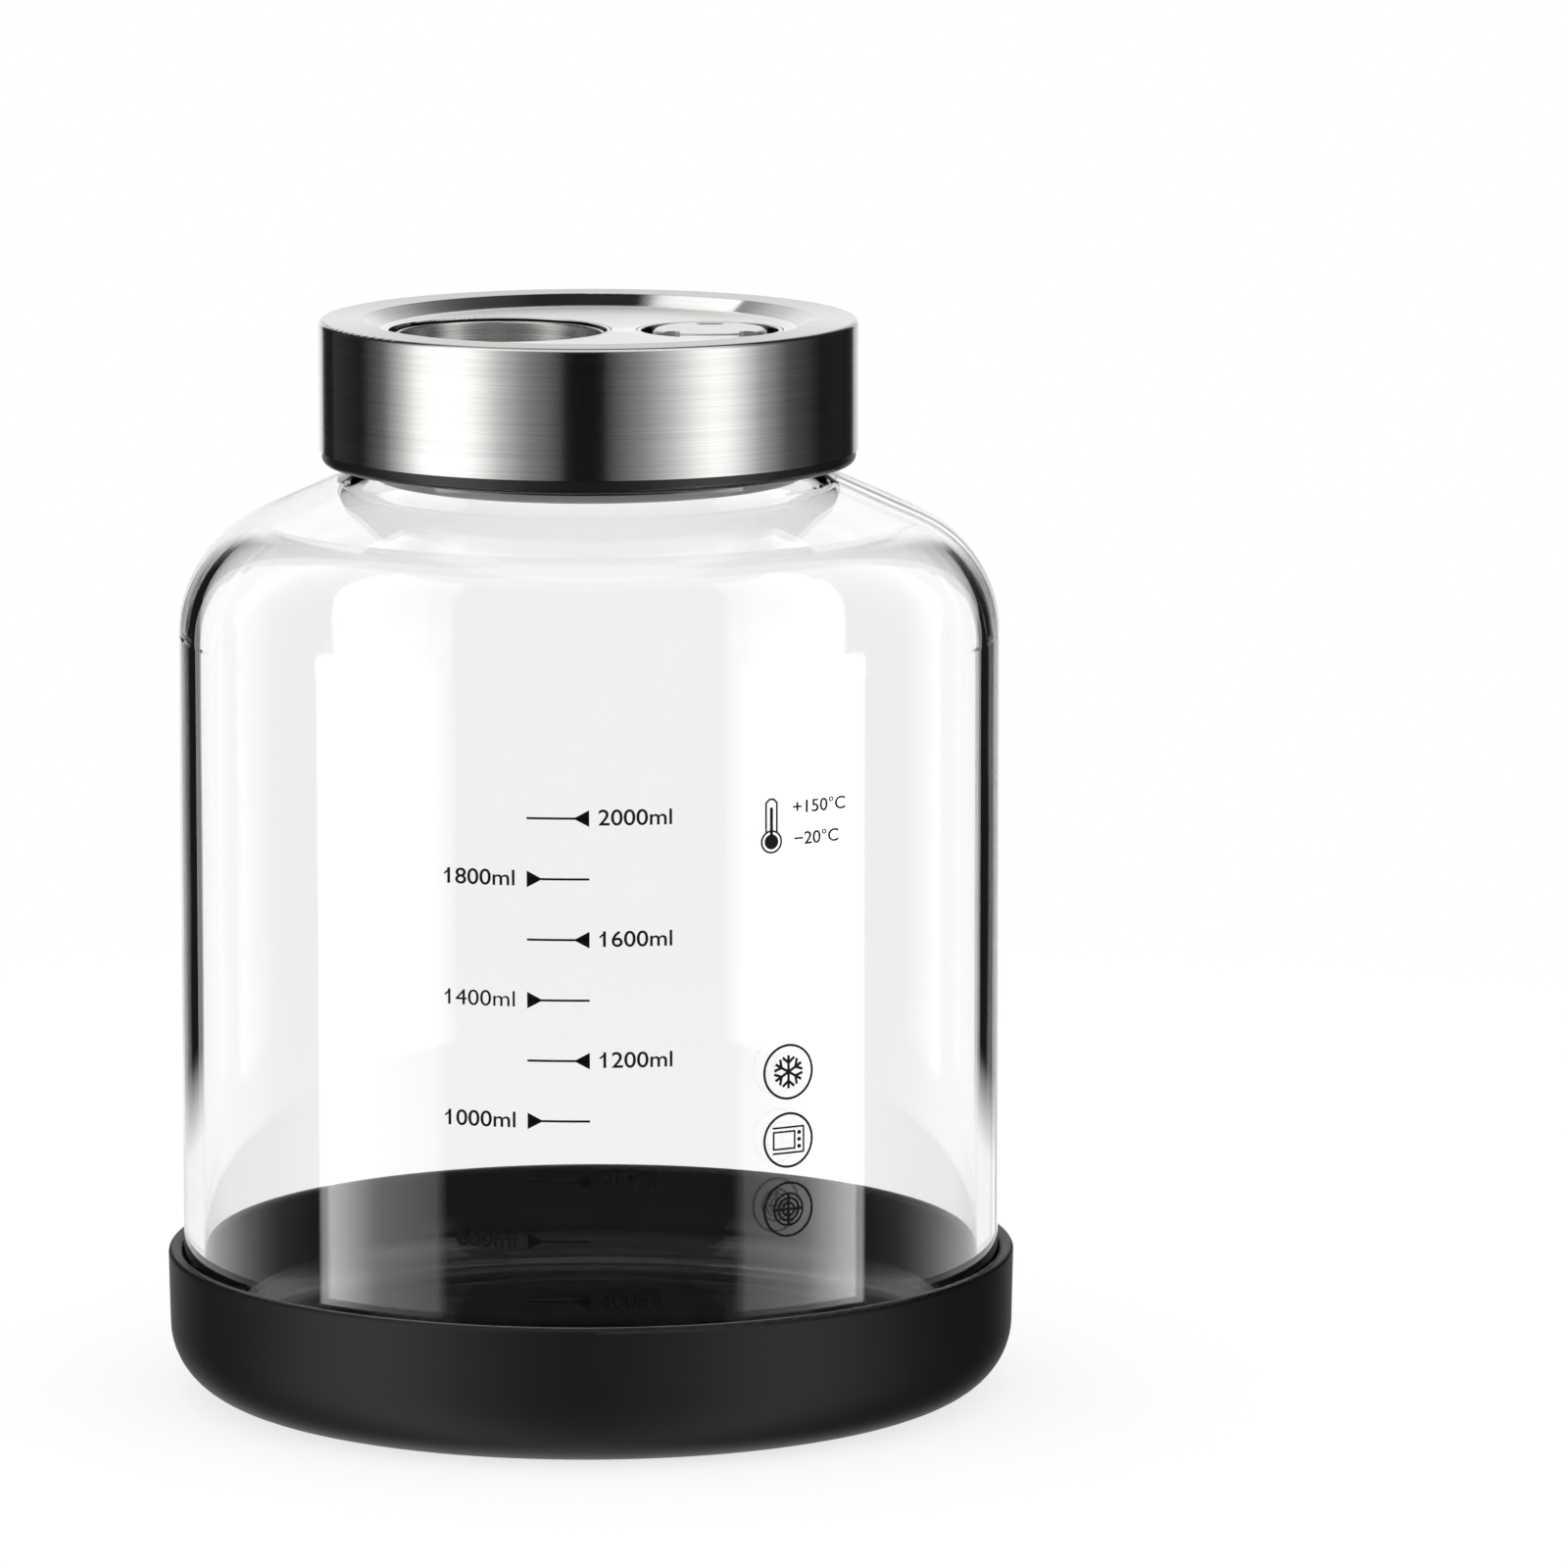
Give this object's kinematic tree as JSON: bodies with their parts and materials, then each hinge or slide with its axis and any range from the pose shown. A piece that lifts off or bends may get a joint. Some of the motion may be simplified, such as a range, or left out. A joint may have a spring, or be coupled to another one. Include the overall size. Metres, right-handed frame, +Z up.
{
  "type": "fermentation jar with airlock",
  "caption": "Wide glass fermentation jar in a silicone base cup, with a steel lid that holds a press vacuum pump and a turning airlock vent.",
  "frame": {"origin": "bottom centre of the base cup, on the surface that the jar stands on", "axes": "+Z up along the jar's axis; +X from the pump to the vent; -Y is the front with the scale"},
  "size_m": [0.1616, 0.1616, 0.205],
  "materials": {
    "black_silicone": "matte moulded silicone",
    "clear_glass": "clear smooth borosilicate glass",
    "brushed_steel": "stainless sheet brushed round its axis",
    "polished_steel": "turned and polished steel ring",
    "black_plastic": "black moulded polypropylene",
    "grey_plastic": "pale grey moulded polypropylene",
    "clear_silicone": "translucent white silicone",
    "screw_steel": "stainless screws",
    "spring_steel": "stainless spring wire",
    "satin_silver": "satin silver moulded plastic",
    "white_plastic": "white acetal"
  },
  "bodies": {
    "base": {"base_cup": "black_silicone"},
    "jar": {"glass_jar": "clear_glass"},
    "lid": {"lid_cover": "brushed_steel", "lid_core": "black_plastic", "pump_barrel": "black_plastic", "vent_well": "black_plastic", "lid_gasket": "clear_silicone", "inner_cover": "grey_plastic", "ring_seal": "clear_silicone", "cover_screws": "screw_steel", "pump_bezel": "polished_steel", "intake_valve": "clear_silicone", "vent_bezel": "polished_steel", "knob_retainer": "black_plastic", "airlock_seat": "clear_silicone", "pump_spring": "spring_steel"},
    "pump": {"pump_button": "brushed_steel", "pump_piston": "black_plastic", "piston_seal": "clear_silicone"},
    "knob": {"vent_knob": "satin_silver"},
    "airlock": {"airlock_poppet": "white_plastic", "airlock_spring": "spring_steel"}
  },
  "joints": [
    {"name": "jar_lift", "type": "slide", "parent": "base", "child": "jar", "axis": [0, 0, 1], "range_m": [0, 0.035]},
    {"name": "lid_lift", "type": "slide", "parent": "jar", "child": "lid", "axis": [0, 0, 1], "range_m": [0, 0.06]},
    {"name": "pump_press", "type": "slide", "parent": "lid", "child": "pump", "axis": [0, 0, -1], "range_m": [0, 0.008], "stiffness_N_per_m": 600, "springref_m": -0.003, "deforming": ["pump_spring"]},
    {"name": "vent_turn", "type": "hinge", "parent": "lid", "child": "knob", "pos_m": [0.0229, 0, 0.20315], "axis": [0, 0, 1], "range_deg": [0, 90]},
    {"name": "airlock_lift", "type": "slide", "parent": "lid", "child": "airlock", "axis": [0, 0, 1], "range_m": [0, 0.002], "deforming": ["airlock_spring"]}
  ],
  "couplings": [
    {"joint": "vent_turn", "follows": "airlock_lift", "rad_per_m": 785.39}
  ]
}
